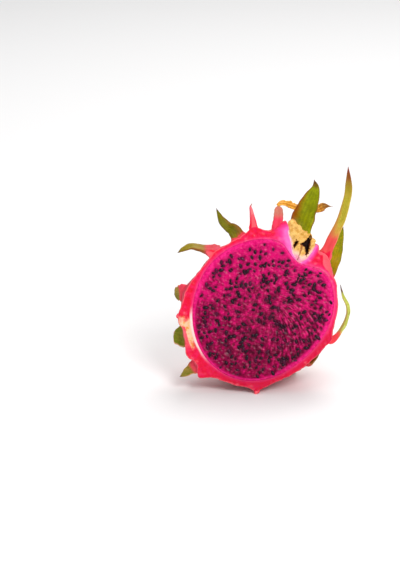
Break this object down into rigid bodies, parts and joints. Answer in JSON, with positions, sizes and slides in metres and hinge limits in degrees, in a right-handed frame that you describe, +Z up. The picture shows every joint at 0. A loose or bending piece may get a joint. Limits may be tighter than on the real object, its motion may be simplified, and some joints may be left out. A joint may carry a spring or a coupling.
{
  "type": "half dragon fruit",
  "caption": "Half of a red-fleshed dragon fruit cut from stem to flower end, with leafy scales round its rind, standing with the seeded cut face to the front.",
  "frame": {"origin": "on the surface that the half stands on, below the middle of its bounding box", "axes": "+Z up, -Y the way the cut face looks (it leans back 16 degrees), +X to the right across the cut face"},
  "size_m": [0.1118, 0.0806, 0.1351],
  "materials": {
    "rind": "waxy red-pink peel, lighter and more matt on the cut rim",
    "flesh": "moist magenta flesh with black seeds",
    "flower_scar": "dry cream corky tissue with dark cavities",
    "dried_petal": "papery orange-brown",
    "scale_green": "waxy leaf green, pink at the root and red-brown at edges and tip",
    "scale_pink": "waxy pink"
  },
  "bodies": {
    "root": {"rind": "rind", "flesh": "flesh", "flower_scar": "flower_scar", "dried_petal": "dried_petal", "upper_left_scale": "scale_green", "left_crown_scale": "scale_green", "crown_leaf": "scale_green", "tall_crown_leaf": "scale_green", "right_crown_leaf": "scale_green", "right_side_scale": "scale_green", "lower_right_scale": "scale_green", "lower_left_scale": "scale_green", "stem_leaf": "scale_green", "foot_scale_left": "scale_green", "foot_scale_right": "scale_green", "back_scale_1": "scale_green", "back_scale_2": "scale_green", "back_scale_3": "scale_green", "back_scale_4": "scale_green", "back_scale_5": "scale_green", "back_scale_6": "scale_green", "back_scale_7": "scale_green", "back_scale_8": "scale_green", "crown_spike": "scale_pink", "crown_stub": "scale_pink", "bottom_spike": "scale_pink", "stem_bump": "scale_pink", "left_side_scale": "scale_pink"}
  },
  "joints": []
}
